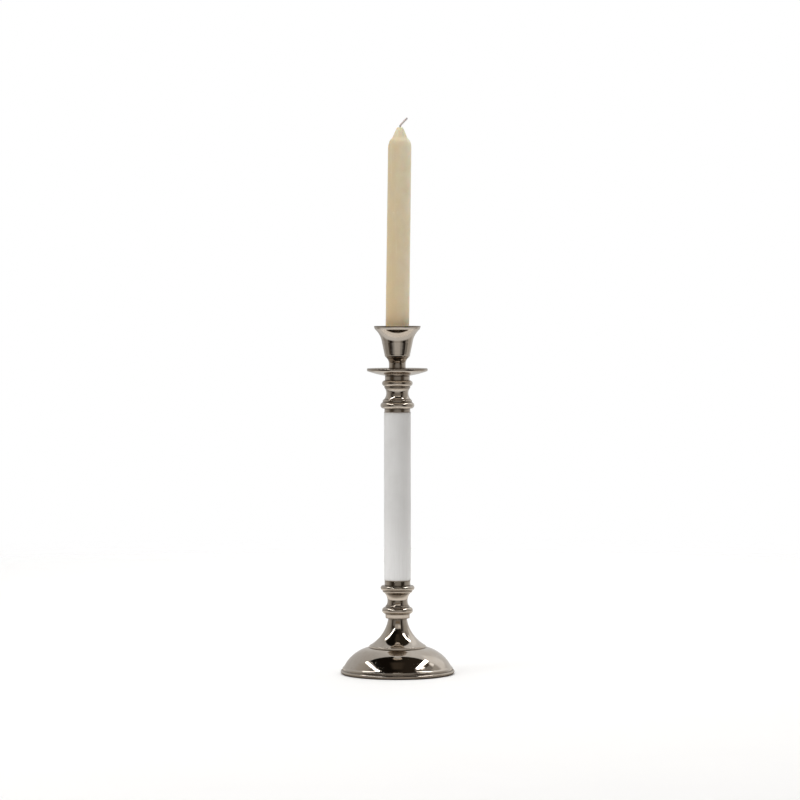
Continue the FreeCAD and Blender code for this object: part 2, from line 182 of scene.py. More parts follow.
def new_material(name, **settings):
    """A material with one Principled shader, whose even values are set on the shader itself."""
    material = bpy.data.materials.new(name)
    material.use_nodes = True
    graph = Graph(material.node_tree)
    shader = graph.add("BsdfPrincipled")
    for key, value in settings.items():
        shader.inputs[key.replace("_", " ")].default_value = value
    out = graph.add("OutputMaterial")
    graph.tree.links.new(shader.outputs[0], out.inputs[0])
    place = graph.add("TexCoord").outputs["Object"]
    return material, graph, shader, place


def cylinder_place(graph, place):
    """The distance from the axis, the angle about it, and the height."""
    x, y, z = graph.split(place)
    radius = graph.math("SQRT", graph.sum(graph.times(x, x), graph.times(y, y)))
    angle = graph.math("ARCTAN2", y, x)
    return radius, angle, z


# ---------------------------------------------------------------- materials

def plated_metal():
    """Warm nickel plate on turned castings: turning marks, smears, tarnish in the joints, and
    painted shade on the flat of the drip pan.
    """
    material, graph, shader, place = new_material("plated_metal", Metallic=1.0)
    radius, angle, height = cylinder_place(graph, place)
    crevice = graph.attribute("crevice")
    edge = graph.attribute("edge")

    cloud = graph.noise(place, 55.0, 4.0, 0.55, 0.4)
    smear = graph.noise(place, 210.0, 5.0, 0.6, 1.2)
    fine = graph.noise(place, 1500.0, 3.0, 0.6)
    turning = graph.noise(graph.join(radius, height, graph.times(angle, 0.0004)), 5200.0, 2.0, 0.7)
    scratch_place = graph.join(
        graph.times(radius, 30.0), graph.times(angle, 0.9), graph.times(height, 30.0)
    )
    scratches = graph.step(graph.noise(scratch_place, 46.0, 3.0, 0.75, 0.6), 0.66, 0.74)
    pits = graph.specks(place, 260.0, 0.055)

    clouded = graph.step(cloud, 0.35, 0.68)
    clean = graph.mix(clouded, rgb(0.735, 0.672, 0.602), rgb(0.69, 0.618, 0.54))
    dulled = graph.mix(graph.times(graph.step(smear, 0.5, 0.74), 0.3), clean, rgb(0.57, 0.488, 0.4))
    # tarnish in the joints, and painted shade on the flat of the drip pan, darken and roughen the
    # metal
    settled = graph.math("POWER", crevice, 1.3)
    grime_and_shade = graph.math("MULTIPLY", settled, graph.sum(0.55, fine), clamp=True)
    grimed_and_shaded = graph.mix(grime_and_shade, dulled, rgb(0.1, 0.068, 0.042))
    spotted = graph.mix(graph.times(pits, 0.65), grimed_and_shaded, rgb(0.2, 0.15, 0.105))
    worn = graph.mix(graph.times(edge, fine, 0.6), spotted, rgb(0.8, 0.74, 0.67))
    graph.feed(shader.inputs["Base Color"], worn)

    rough = graph.sum(
        0.035,
        graph.times(graph.step(smear, 0.42, 0.75), 0.06),
        graph.times(fine, 0.025),
        graph.times(scratches, 0.12),
        graph.times(grime_and_shade, 0.35),
        graph.times(pits, 0.3),
    )
    graph.feed(shader.inputs["Roughness"], rough)

    cast = graph.bump(graph.noise(place, 95.0, 2.0, 0.5), 0.35, 0.00012)
    turned = graph.bump(turning, 0.07, 0.00002, cast)
    cuts = graph.sum(graph.times(scratches, -1.0), graph.times(pits, -2.0))
    graph.feed(shader.inputs["Normal"], graph.bump(cuts, 0.3, 0.00003, turned))
    return material


def white_enamel():
    """Satin white enamel on the steel tube: faint orange peel, rubbed streaks and a few specks, with
    painted bounce light making it paler towards the bottom.
    """
    material, graph, shader, place = new_material(
        "white_enamel", IOR=1.5, Coat_Weight=0.25, Coat_Roughness=0.12
    )
    _, angle, height = cylinder_place(graph, place)
    crevice = graph.attribute("crevice")

    cloud = graph.noise(place, 38.0, 4.0, 0.55, 0.3)
    streak_place = graph.join(
        graph.times(angle, 0.013), graph.times(angle, 0.009), graph.times(height, 0.05)
    )
    streaks = graph.noise(streak_place, 620.0, 4.0, 0.6)
    peel = graph.noise(place, 620.0, 2.0, 0.5)
    grain = graph.noise(place, 3200.0, 2.0, 0.6)
    specks = graph.specks(place, 120.0, 0.045)

    clouded = graph.step(cloud, 0.3, 0.7)
    plain = graph.mix(clouded, rgb(0.765, 0.765, 0.762), rgb(0.72, 0.719, 0.714))
    # painted bounce light: the tube paler towards its bottom, below 0.17 m
    base = graph.mix(graph.step(height, 0.17, 0.09), plain, rgb(0.87, 0.87, 0.868))
    rubbing = graph.times(graph.step(streaks, 0.45, 0.8), 0.35)
    rubbed = graph.mix(rubbing, base, rgb(0.67, 0.662, 0.645))
    speckled = graph.mix(graph.times(specks, 0.5), rubbed, rgb(0.42, 0.39, 0.35))
    stain = graph.times(crevice, graph.sum(0.35, cloud))
    graph.feed(shader.inputs["Base Color"], graph.mix(stain, speckled, rgb(0.36, 0.32, 0.27)))

    rough = graph.sum(
        0.27,
        graph.times(streaks, 0.12),
        graph.times(grain, 0.06),
        graph.times(crevice, 0.3),
    )
    graph.feed(shader.inputs["Roughness"], rough)
    peeled = graph.bump(peel, 0.3, 0.00003)
    grained = graph.bump(graph.sum(grain, graph.times(specks, -1.5)), 0.12, 0.00002, peeled)
    graph.feed(shader.inputs["Normal"], grained)
    return material


def ivory_wax():
    """Candle wax that lets light a little way in, with streaks and frosting; painted shade makes it
    darker and yellower to -X, painted light makes it paler to +X, and it is darker towards the
    bottom.
    """
    material, graph, shader, place = new_material(
        "ivory_wax",
        IOR=1.44,
        Subsurface_Weight=0.6,
        Subsurface_Scale=0.006,
        Subsurface_Radius=(1.0, 0.62, 0.3),
        Coat_Weight=0.12,
        Coat_Roughness=0.3,
    )
    radius, angle, height = cylinder_place(graph, place)
    streak_place = graph.join(graph.times(angle, 0.011), radius, graph.times(height, 0.035))
    streaks = graph.noise(streak_place, 900.0, 4.0, 0.6, 0.2)
    cloud = graph.noise(place, 60.0, 4.0, 0.6, 0.6)
    frost = graph.noise(place, 420.0, 5.0, 0.65, 0.8)
    grain = graph.noise(place, 2600.0, 2.0, 0.6)
    dent_place = graph.join(graph.times(angle, 0.012), radius, graph.times(height, 0.6))
    dents = graph.noise(dent_place, 150.0, 2.0)

    # painted light and shade across the candle: the +X side paler, the -X side darker and yellower;
    # both sides darker towards the bottom
    upward = graph.step(height, 0.30, 0.52)
    east, _, _ = graph.split(place)
    lit_share = graph.step(east, -0.01, 0.0125)
    shaded_side_tone = graph.mix(upward, rgb(0.69, 0.55, 0.335), rgb(0.68, 0.58, 0.39))
    lit_side_tone = graph.mix(upward, rgb(0.91, 0.8, 0.59), rgb(0.96, 0.87, 0.67))
    tone = graph.mix(lit_share, shaded_side_tone, lit_side_tone)
    for share, colour in (
        (graph.times(graph.step(cloud, 0.38, 0.7), 0.3), rgb(0.72, 0.6, 0.385)),
        (graph.times(graph.step(streaks, 0.5, 0.78), 0.35), rgb(0.86, 0.79, 0.62)),
        (graph.times(graph.step(frost, 0.55, 0.75), 0.3), rgb(0.9, 0.85, 0.72)),
    ):
        tone = graph.mix(share, tone, colour)
    graph.feed(shader.inputs["Base Color"], tone)

    frosting = graph.times(graph.step(frost, 0.4, 0.75), 0.16)
    graph.feed(shader.inputs["Roughness"], graph.sum(0.34, frosting, graph.times(grain, 0.08)))
    drawn = graph.bump(graph.sum(streaks, graph.times(dents, 2.0)), 0.35, 0.00006)
    grained = graph.bump(graph.sum(grain, frost), 0.18, 0.00003, drawn)
    graph.feed(shader.inputs["Normal"], grained)
    return material


def waxed_cotton():
    """Cotton fibres soaked in wax, with painted shade in the hollows of the braid."""
    material, graph, shader, place = new_material(
        "waxed_cotton", IOR=1.45, Sheen_Weight=0.3, Sheen_Roughness=0.5,
        Subsurface_Weight=0.2, Subsurface_Scale=0.0008,
    )
    hollow = graph.attribute("hollow")
    x, y, height = graph.split(place)
    fibres = graph.noise(graph.join(x, y, graph.times(height, 0.25)), 9000.0, 3.0, 0.7)
    cloud = graph.noise(place, 700.0, 3.0, 0.6)
    thread = graph.mix(graph.step(fibres, 0.3, 0.7), rgb(0.6, 0.53, 0.5), rgb(0.84, 0.78, 0.76))
    waxed = graph.mix(graph.times(cloud, 0.5), thread, rgb(0.78, 0.7, 0.66))
    # painted shade in the hollows of the braid
    shaded = graph.mix(graph.times(hollow, 0.5), waxed, rgb(0.36, 0.3, 0.27))
    graph.feed(shader.inputs["Base Color"], shaded)
    graph.feed(shader.inputs["Roughness"], graph.sum(0.45, graph.times(fibres, 0.25)))
    graph.feed(shader.inputs["Normal"], graph.bump(graph.sum(fibres, cloud), 0.5, 0.00006))
    return material


def wool_felt():
    """Dark pressed wool, its fibres lying every way."""
    material, graph, shader, place = new_material(
        "wool_felt", Sheen_Weight=0.5, Sheen_Roughness=0.6, Sheen_Tint=rgb(0.5, 0.45, 0.4)
    )
    tangle = graph.noise(place, 2600.0, 5.0, 0.75, 2.5)
    cloud = graph.noise(place, 240.0, 3.0, 0.6)
    lint = graph.specks(place, 700.0, 0.16)
    tangled = graph.step(tangle, 0.35, 0.65)
    wool = graph.mix(tangled, rgb(0.03, 0.026, 0.023), rgb(0.1, 0.088, 0.078))
    faded = graph.mix(graph.times(cloud, 0.35), wool, rgb(0.13, 0.115, 0.1))
    linted = graph.mix(graph.times(lint, 0.5), faded, rgb(0.3, 0.28, 0.25))
    graph.feed(shader.inputs["Base Color"], linted)
    graph.feed(shader.inputs["Roughness"], graph.sum(0.8, graph.times(tangle, 0.15)))
    graph.feed(shader.inputs["Normal"], graph.bump(tangle, 0.8, 0.00015))
    return material


def zinc_steel():
    """Zinc-plated steel: a dull bloom over small crystals."""
    material, graph, shader, place = new_material("zinc_steel", Metallic=1.0)
    bloom = graph.noise(place, 420.0, 5.0, 0.6, 0.8)
    crystals = graph.add("TexVoronoi", {"Vector": place, "Scale": 1400.0}).outputs["Color"]
    crystal, _, _ = graph.split(crystals)
    grain = graph.noise(place, 4200.0, 3.0, 0.65)
    base = graph.mix(graph.step(bloom, 0.35, 0.7), rgb(0.56, 0.565, 0.58), rgb(0.42, 0.42, 0.415))
    facets = graph.mix(graph.times(crystal, 0.3), base, rgb(0.68, 0.685, 0.7))
    graph.feed(shader.inputs["Base Color"], facets)
    rough = graph.sum(0.28, graph.times(bloom, 0.2), graph.times(crystal, 0.08))
    graph.feed(shader.inputs["Roughness"], rough)
    graph.feed(shader.inputs["Normal"], graph.bump(graph.sum(grain, crystal), 0.25, 0.00004))
    return material


def pressed_fibre():
    """Brown pressed fibre of the two gaskets."""
    material, graph, shader, place = new_material("pressed_fibre", IOR=1.45)
    fibres = graph.noise(place, 3800.0, 5.0, 0.75, 1.5)
    cloud = graph.noise(place, 500.0, 3.0, 0.6)
    base = graph.mix(graph.step(fibres, 0.35, 0.65), rgb(0.16, 0.1, 0.06), rgb(0.3, 0.21, 0.14))
    darkened = graph.mix(graph.times(cloud, 0.4), base, rgb(0.1, 0.07, 0.05))
    graph.feed(shader.inputs["Base Color"], darkened)
    graph.feed(shader.inputs["Roughness"], graph.sum(0.65, graph.times(fibres, 0.25)))
    graph.feed(shader.inputs["Normal"], graph.bump(fibres, 0.6, 0.00005))
    return material


MATERIALS = {
    "plated_metal": plated_metal(),
    "white_enamel": white_enamel(),
    "ivory_wax": ivory_wax(),
    "waxed_cotton": waxed_cotton(),
    "felt": wool_felt(),
    "steel_fastener": zinc_steel(),
    "fibre_gasket": pressed_fibre(),
}


# ---------------------------------------------------------------- turned shapes

ARC_TURN = math.radians(7)  # the most that an arc bends between two of its points
CORNER_TURN = math.radians(9)  # an outline that bends more than this has a corner
NEAR_CORNER = (0.35, 0.8, 1.6, 3.0)  # extra points of a straight run, from both its ends
EDGE_FADE = 0.45  # how fast the wear of a raised corner fades along the surface
CREVICE_FADE = 0.75  # how fast the grime of a hollow corner fades


def arc_points(start, end, radius, side, step):
    """Points from start to end along an arc, both ends included."""
    chord = end - start
    length = np.linalg.norm(chord)
    across = np.array([chord[1], -chord[0]]) / length
    if (across[0] > 0) != (side == OUT):
        across = -across
    centre = (start + end) / 2 + across * math.sqrt(radius**2 - (length / 2) ** 2)
    first = math.atan2(*(start - centre)[::-1])
    sweep = math.atan2(*(end - centre)[::-1]) - first
    sweep = (sweep + math.pi) % (2 * math.pi) - math.pi
    count = max(4, math.ceil(abs(sweep) * radius / step), math.ceil(abs(sweep) / ARC_TURN))
    angles = first + sweep * np.linspace(0, 1, count + 1)
    points = centre + radius * np.stack([np.cos(angles), np.sin(angles)], axis=1)
    points[0], points[-1] = start, end
    return points


def line_points(start, end):
    """Points along a straight run, close together near its ends."""
    length = np.linalg.norm(end - start)
    near = [d for d in NEAR_CORNER if d < length * 0.45]
    places = [0.0, *near, *(length - d for d in reversed(near)), length]
    return start + np.outer(np.array(places) / length, end - start)


def trim(points, distance):
    """Cuts a length off the start of a run of points."""
    while distance > 0:
        gap = np.linalg.norm(points[1] - points[0])
        if gap > distance:
            points = points.copy()
            points[0] += (points[1] - points[0]) * distance / gap
            break
        distance -= gap
        points = points[1:]
    return points


def profile(outline, rounding, step):
    """A closed outline of lines and arcs, with its corners rounded.

    Each entry of the outline is a radius and a height, and for an arc that ends there also its
    radius and side. Returns an array of radius and height, and two arrays that are 1 at hollow
    and at raised corners and fall off along the surface.
    """
    corners = [np.array(entry[:2], float) for entry in outline]
    count = len(outline)
    runs = []
    for index, entry in enumerate(outline):
        start, end = corners[index - 1], corners[index]
        is_arc = len(entry) == 4
        runs.append(arc_points(start, end, *entry[2:], step) if is_arc else line_points(start, end))
    lengths = [np.linalg.norm(np.diff(run, axis=0), axis=1).sum() for run in runs]
    turns = []
    for index in range(count):
        into = runs[index][-1] - runs[index][-2]
        out_of = runs[(index + 1) % count][1] - runs[(index + 1) % count][0]
        turns.append(math.atan2(into[0] * out_of[1] - into[1] * out_of[0], into @ out_of))
    area = sum(a[0] * b[1] - a[1] * b[0] for a, b in zip(corners, corners[1:] + corners[:1]))
    cut = []
    for index in range(count):
        sharp = abs(turns[index]) > CORNER_TURN and corners[index][0] > TINY
        room = 0.4 * min(lengths[index], lengths[(index + 1) % count])
        cut.append(min(rounding, room) if sharp else 0.0)
    points = []
    for index in range(count):
        run = runs[index]
        if cut[index - 1]:
            run = trim(run, cut[index - 1])
        if cut[index]:
            run = trim(run[::-1], cut[index])[::-1]
        points.extend(run if cut[index - 1] else run[1:])
        if cut[index]:
            following = trim(runs[(index + 1) % count], cut[index])[0]
            corner = corners[index]
            for t in (0.2, 0.4, 0.6, 0.8):
                points.append((1 - t) ** 2 * run[-1] + 2 * t * (1 - t) * corner + t**2 * following)
    points = np.array(points)
    hollow = np.zeros(len(points))
    raised = np.zeros(len(points))
    low, high = min(c[1] for c in corners), max(c[1] for c in corners)
    for corner, turn in zip(corners, turns):
        if abs(turn) < CORNER_TURN:
            continue
        distance = np.linalg.norm(points - corner, axis=1)
        joint = min(corner[1] - low, high - corner[1]) < TINY
        if (turn * area > 0) and not joint:
            raised = np.maximum(raised, np.exp(-distance / EDGE_FADE))
        else:
            hollow = np.maximum(hollow, np.exp(-distance / CREVICE_FADE))
    return points, hollow, raised


def mesh_object(name, vertices, faces, material):
    mesh = bpy.data.meshes.new(name)
    mesh.from_pydata(vertices, [], faces)
    mesh.polygons.foreach_set("use_smooth", [True] * len(mesh.polygons))
    mesh.materials.append(MATERIALS[material])
    mesh.update()
    piece = bpy.data.objects.new(name, mesh)
    scene.collection.objects.link(piece)
    return piece


def add_values(mesh, name, values):
    attribute = mesh.attributes.new(name, "FLOAT", "POINT")
    attribute.data.foreach_set("value", np.asarray(values, np.float32))


def profile_normals(points, area_sign):
    """Outward normals of a closed profile, the longer neighbour counting for more."""
    ahead = np.roll(points, -1, axis=0) - points
    behind = points - np.roll(points, 1, axis=0)
    ahead_length, behind_length = (np.linalg.norm(run, axis=1)[:, None] for run in (ahead, behind))
    along = ahead * ahead_length + behind * behind_length
    normals = np.stack([along[:, 1], -along[:, 0]], axis=1) * area_sign
    return normals / np.maximum(np.linalg.norm(normals, axis=1), 1e-12)[:, None]


def lathe(name, outline, material, base, rounding, turns, flipped=False, step=0.8, shape=None):
    """A turned piece whose outline stands on the height base, or hangs from it if flipped.

    shape may move each vertex: it takes the spot, its angle and its height in the outline.
    """
    points, hollow, raised = profile(outline, rounding, step)
    shifted = np.roll(points, -1, axis=0)
    area = (points[:, 0] * shifted[:, 1] - points[:, 1] * shifted[:, 0]).sum()
    normals = profile_normals(points, 1.0 if area > 0 else -1.0)
    upward = -1.0 if flipped else 1.0
    vertices, vertex_normals, rows = [], [], []
    crevice, edge = [], []
    for (radius, height), (across, up), low, high in zip(points, normals, hollow, raised):
        on_axis = radius < TINY
        row = []
        for turn in range(1 if on_axis else turns):
            angle = 2 * math.pi * turn / turns
            cosine, sine = math.cos(angle), math.sin(angle)
            spot = Vector((radius * cosine, radius * sine, base + upward * height))
            if shape is not None:
                spot = shape(spot, angle, height)
            row.append(len(vertices))
            vertices.append(spot * MM)
            vertex_normals.append((across * cosine, across * sine, upward * up))
            crevice.append(low)
            edge.append(high)
        rows.append(row * turns if on_axis else row)
    faces = []
    forward = (area > 0) != flipped
    for index, row in enumerate(rows):
        following = rows[(index + 1) % len(rows)]
        for turn in range(turns):
            after = (turn + 1) % turns
            loop = list(dict.fromkeys((row[turn], row[after], following[after], following[turn])))
            if len(loop) > 2:
                faces.append(loop if forward else loop[::-1])
    piece = mesh_object(name, vertices, faces, material)
    if shape is None:
        piece.data.normals_split_custom_set_from_vertices(vertex_normals)
    add_values(piece.data, "crevice", crevice)
    add_values(piece.data, "edge", edge)
    return piece


def ring_faces(rings, turns):
    """Quads between rings of vertices that lie one above another."""
    faces = []
    for ring in range(rings - 1):
        for turn in range(turns):
            after = (turn + 1) % turns
            low, high = ring * turns, (ring + 1) * turns
            faces.append([low + turn, low + after, high + after, high + turn])
    return faces


def settle(piece, body, slot, *nodes):
    """The piece rides on its body and stands for its CAD nodes."""
    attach(piece, body)
    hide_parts(*nodes)


def bottom(node):
    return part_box(node)[0].z / MM


def top(node):
    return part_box(node)[1].z / MM


# ---------------------------------------------------------------- the stick's pieces

# Outlines of radius and height. An entry of four is the end of an arc, with its radius and side.
FOOT = [
    (BORE, 51.3), (BORE, 31.4), (10.6, 31.4), (25.0, 21.6), (47.5, 5.0, 33.0, IN), (47.5, 0.0),
    (51.6, 0.0), (53.07, 1.5, 1.5, IN), (51.6, 3.0, 1.5, IN), (51.25, 5.2), (49.76, 6.5, 3.4, OUT),
    (27.4, 23.9, 34.5, IN), (26.4, 23.9), (26.4, 25.6), (8.65, 51.3, 34.2, OUT),
]
LOWER_COLLAR = [(BORE, 4.2), (BORE, 0.0), (11.1, 0.0), (11.5, 4.2)]
UPPER_COLLAR = [(BORE, 4.4), (BORE, 0.0), (11.5, 0.0), (11.5, 4.4)]
LOWER_KNOP = [
    (BORE, 26.2), (BORE, 0.0), (13.9, 0.0), (13.9, 4.4, 2.22, IN), (13.75, 5.9), (11.6, 7.4),
    (10.7, 18.9, 10.4, OUT), (11.3, 19.15), (11.3, 20.3), (12.4, 20.3), (12.15, 26.2, 3.15, IN),
]
UPPER_KNOP = [
    (BORE, 26.0), (BORE, 0.0), (13.7, 0.0), (13.7, 5.7, 3.0, IN), (13.55, 7.7), (12.4, 8.5),
    (11.7, 18.9, 8.6, OUT), (12.1, 19.15), (12.1, 20.8), (12.4, 20.8), (12.15, 26.0, 2.7, IN),
]
DRIP_PAN = [
    (BORE, 6.0), (BORE, 0.0), (11.5, 0.0), (27.9, 4.2, 90.0, IN), (27.9, 6.8, 2.4, IN), (25.3, 6.0),
]
CANDLE_CUP = [
    (0.0, 14.5), (3.0, 12.8), (3.0, 0.0), (8.0, 0.0), (7.8, 0.75), (7.8, 4.5),
    (10.0, 10.6, 9.1, OUT), (11.9, 13.7, 3.6, IN), (14.3, 25.1), (20.9, 37.2, 19.5, OUT),
    (21.65, 39.1), (21.65, 40.2), (20.6, 40.2), (11.4, 24.2, 24.0, OUT), (11.4, 18.2), (0.0, 18.2),
]
COLUMN = [(11.0, 0.0), (12.45, 0.0), (12.45, 156.8), (11.0, 156.8)]


def ferrule_outline(band):
    """A visible band, with a spigot above it that goes into the tube."""
    end = band + 6.0
    return [(BORE, end), (BORE, 0.0), (12.05, 0.0), (12.05, band), (10.8, band), (10.8, end)]


DISH_HEIGHT, DISH_INNER, DISH_OUTER = 6.0, 8.0, 25.0
# how much painted shade the flat of the drip pan gets
DISH_SHADE = 0.4


def shade_dish(piece, level):
    """Painted shade on the flat of the drip pan, under the cup, for the cup's underside to mirror:
    it darkens and roughens the dish.
    """
    values = piece.data.attributes["crevice"].data
    for vertex in piece.data.vertices:
        x, y, z = vertex.co / MM
        if abs(z - level) < 0.02 and DISH_INNER < math.hypot(x, y) < DISH_OUTER:
            values[vertex.index].value = max(DISH_SHADE, values[vertex.index].value)


TURNED = [
    # piece, CAD node, outline, flipped, rounding, turns
    ("foot_turned", "foot", FOOT, False, 0.3, 224),
    ("lower_collar_turned", "lower_collar", LOWER_COLLAR, False, 0.25, 128),
    ("lower_knop_turned", "lower_knop", LOWER_KNOP, True, 0.25, 144),
    ("lower_ferrule_turned", "lower_ferrule", ferrule_outline(4.6), False, 0.25, 128),
    ("upper_ferrule_turned", "upper_ferrule", ferrule_outline(3.1), True, 0.25, 128),
    ("upper_knop_turned", "upper_knop", UPPER_KNOP, False, 0.25, 144),
    ("upper_collar_turned", "upper_collar", UPPER_COLLAR, False, 0.25, 128),
    ("drip_pan_turned", "drip_pan", DRIP_PAN, False, 0.25, 192),
    ("candle_cup_turned", "candle_cup", CANDLE_CUP, False, 0.25, 176),
]
for name, node, outline, flipped, rounding, turns in TURNED:
    base = top(node) if flipped else bottom(node)
    piece = lathe(name, outline, "plated_metal", base, rounding, turns, flipped)
    if node == "drip_pan":
        # painted shade on the flat of the drip pan, under the cup
        shade_dish(piece, base + DISH_HEIGHT)
    settle(piece, "stick", "plated_metal", node)

column = lathe("column_enamelled", COLUMN, "white_enamel", bottom("column_tube"), 0.22, 144)
settle(column, "stick", "white_enamel", "column_tube")


FELT = [(47.9, 0.6), (47.9, 0.0), (51.6, 0.0), (51.6, 0.6)]
FELT_MIDDLE = 49.75


def felt_shape(spot, angle, _height):
    """The felt's cut edges waver a little, inside its nominal size."""
    radius = math.hypot(spot.x, spot.y)
    long_waves, short_waves = math.sin(11 * angle), math.sin(29 * angle + 1.3)
    waver = 0.10 + 0.05 * long_waves + 0.04 * short_waves + 0.03 * math.sin(67 * angle)
    inward = 1 - waver / radius if radius > FELT_MIDDLE else 1 + waver / radius
    return Vector((spot.x * inward, spot.y * inward, spot.z))


felt = lathe("felt_cut", FELT, "felt", bottom("felt_ring"), 0.15, 288, shape=felt_shape)
settle(felt, "stick", "felt", "felt_ring")


ROD_RADIUS, THREAD_DEPTH, THREAD_LENGTH, THREAD_RUNOUT = 2.95, 0.55, 14.0, 1.0


def thread_depth(turns_up):
    """The profile of a metric thread with 1 mm to a turn: 0 at the crest, 1 at the root."""
    steepness, crest = 1.25, 0.08
    ramp = abs(turns_up % 1.0 - 0.5) * 2
    return min(1.0, max(0.0, (1 - ramp) * steepness - crest))


def threaded_rod():
    """The M6 rod, with real threads on its two ends and a plain shank between."""
    low, high = bottom("tie_rod"), top("tie_rod")
    fine, shank_rings, turns = 0.125, 24, 48
    chamfer, end_share = 0.7, 0.78
    levels = list(np.arange(low, low + THREAD_LENGTH, fine))
    levels += list(np.linspace(low + THREAD_LENGTH, high - THREAD_LENGTH, shank_rings))
    levels += list(np.arange(high - THREAD_LENGTH + fine, high + 0.01, fine))
    vertices = []
    for level in levels:
        into = min(level - low, high - level)
        fade = min(1.0, max(0.0, (THREAD_LENGTH - THREAD_RUNOUT - into) / THREAD_RUNOUT))
        lead = min(1.0, into / chamfer)
        for turn in range(turns):
            angle = 2 * math.pi * turn / turns
            depth = thread_depth(level - turn / turns) * fade
            narrowed = end_share + (1 - end_share) * lead
            radius = (ROD_RADIUS - THREAD_DEPTH * depth) * narrowed
            spot = Vector((radius * math.cos(angle), radius * math.sin(angle), level))
            vertices.append(spot * MM)
    faces = ring_faces(len(levels), turns)
    faces.append(list(range(turns))[::-1])
    last = (len(levels) - 1) * turns
    faces.append([last + turn for turn in range(turns)])
    piece = mesh_object("tie_rod_threaded", vertices, faces, "steel_fastener")
    piece.data.polygons[-1].use_smooth = False
    piece.data.polygons[-2].use_smooth = False
    return piece


settle(threaded_rod(), "stick", "steel_fastener", "tie_rod")

for node, slot in (
    ("rod_nut", "steel_fastener"),
    ("spring_washer", "steel_fastener"),
    ("flat_washer", "steel_fastener"),
    ("lower_gasket", "fibre_gasket"),
    ("upper_gasket", "fibre_gasket"),
):
    for holder in frame["nodes"][node].material_slots:
        holder.material = MATERIALS[slot]


# ---------------------------------------------------------------- the candle

lift = Vector(frame["joints"][0]["axis"])
LEAN = math.atan2(lift.x, lift.z)
CANDLE_SHIFT = -0.2
CANDLE_FLAT = 10.5  # radius of the flat that the candle stands on
candle_base = Vector((CANDLE_SHIFT, 0.0, bottom("candle_wax") + CANDLE_FLAT * math.sin(LEAN)))
CANDLE_PLACE = Matrix.Translation(candle_base * MM) @ Matrix.Rotation(LEAN, 4, "Y")

FLATS_DEPTH, RIPPLE_DEPTH, DRAWN_DEPTH = 0.035, 0.012, 0.008
WAX = [
    (1.1, 0.0), (10.5, 0.0), (11.0, 0.5), (10.87, 186.7), (9.3, 193.8, 17.0, IN), (7.4, 196.0),
    (6.5, 197.7, 4.0, OUT), (3.4, 204.6), (1.1, 206.3, 2.6, IN),
]


def wax_shape(spot, angle, height):
    """Poured wax isn't quite round: shallow flats and soft ripples, inside the nominal size."""
    radius = math.hypot(spot.x, spot.y)
    if radius < 2.0 or height < 1.0:
        return spot
    flats = 0.5 + 0.5 * math.sin(3 * angle + 0.9 + height * 0.004)
    ripple = 0.5 + 0.5 * math.sin(height * 0.21 + 2.0 * math.sin(angle * 2 + height * 0.013))
    drawn = 0.5 + 0.5 * math.sin(17 * angle + 1.5 * math.sin(height * 0.05))
    inward = 1 - (FLATS_DEPTH * flats + RIPPLE_DEPTH * ripple + DRAWN_DEPTH * drawn) / radius
    return Vector((spot.x * inward, spot.y * inward, spot.z))


wax = lathe("candle_poured", WAX, "ivory_wax", 0.0, 1.0, 128, step=1.2, shape=wax_shape)
wax.data.transform(CANDLE_PLACE)
settle(wax, "candle", "ivory_wax", "candle_wax")


def wick_line():
    """The wick's middle line in the candle's own frame: up, a soft bend to +X, then straight."""
    start, bend, radius, turn, straight = 199.0, 206.6, 2.8, math.radians(43.0), 8.9
    fine, arc_steps = 0.1, 22

    def bent(angle):
        return Vector((radius * (1 - math.cos(angle)), 0, bend + radius * math.sin(angle)))

    points = [Vector((0, 0, level)) for level in np.arange(start, bend, fine)]
    points += [bent(turn * index / arc_steps) for index in range(arc_steps)]
    along = Vector((math.sin(turn), 0, math.cos(turn)))
    points += [bent(turn) + along * step for step in np.arange(0.0, straight - 0.25, fine)]
    return points


def braided_wick():
    """A tube whose surface rises and falls as eight braided strands, with a blunt cut end."""
    line = wick_line()
    turns, strand_twist, lump_twist = 40, 3.1, 0.9
    thickness, strand_height, lump_height = 0.945, 0.075, 0.03
    end_rows, end_share, end_bulge, end_hollow = 4, 0.85, 0.12, 0.4
    vertices, hollow = [], []
    travelled = 0.0
    for index, point in enumerate(line):
        before, after = line[max(index - 1, 0)], line[min(index + 1, len(line) - 1)]
        along = (after - before).normalized()
        side = Vector((0, 1, 0))
        across = side.cross(along).normalized()
        travelled += (point - before).length
        tip = min(1.0, (len(line) - 1 - index) / end_rows)
        narrowed = end_share + (1 - end_share) * tip
        for turn in range(turns):
            angle = 2 * math.pi * turn / turns
            wound = strand_twist * travelled
            strand = max(math.cos(4 * angle + wound), math.cos(4 * angle - wound))
            lump = lump_height * math.sin(2 * angle + travelled * lump_twist)
            radius = (thickness + strand_height * strand + lump) * narrowed
            outward = across * math.cos(angle) + side * math.sin(angle)
            vertices.append((point + outward * radius) * MM)
            # how much painted shade each spot gets, most between the strands
            hollow.append(min(1.0, max(0.0, 0.75 - strand)))
    faces = ring_faces(len(line), turns)
    faces.append(list(range(turns))[::-1])
    middle = len(vertices)
    vertices.append((line[-1] + (line[-1] - line[-2]).normalized() * end_bulge) * MM)
    # the middle of the cut end gets some painted shade too
    hollow.append(end_hollow)
    last = (len(line) - 1) * turns
    for turn in range(turns):
        faces.append([last + turn, last + (turn + 1) % turns, middle])
    piece = mesh_object("wick_braided", vertices, faces, "waxed_cotton")
    add_values(piece.data, "hollow", hollow)
    return piece


wick = braided_wick()
wick.data.transform(CANDLE_PLACE)
settle(wick, "candle", "waxed_cotton", "candle_wick")


# ---------------------------------------------------------------- floor, room and lights

FLOOR_REACH = 1.8
FLOOR_FADE = (0.9, 1.7)  # where the floor turns into the white surroundings
MIRRORED_FADE = (0.26, 0.42)  # where it ends in the reflections of metal
# the dark end of this is painted shade close to the foot
MIRRORED_SHADE = (0.06, 0.15)  # where it turns from dark to pale in those reflections


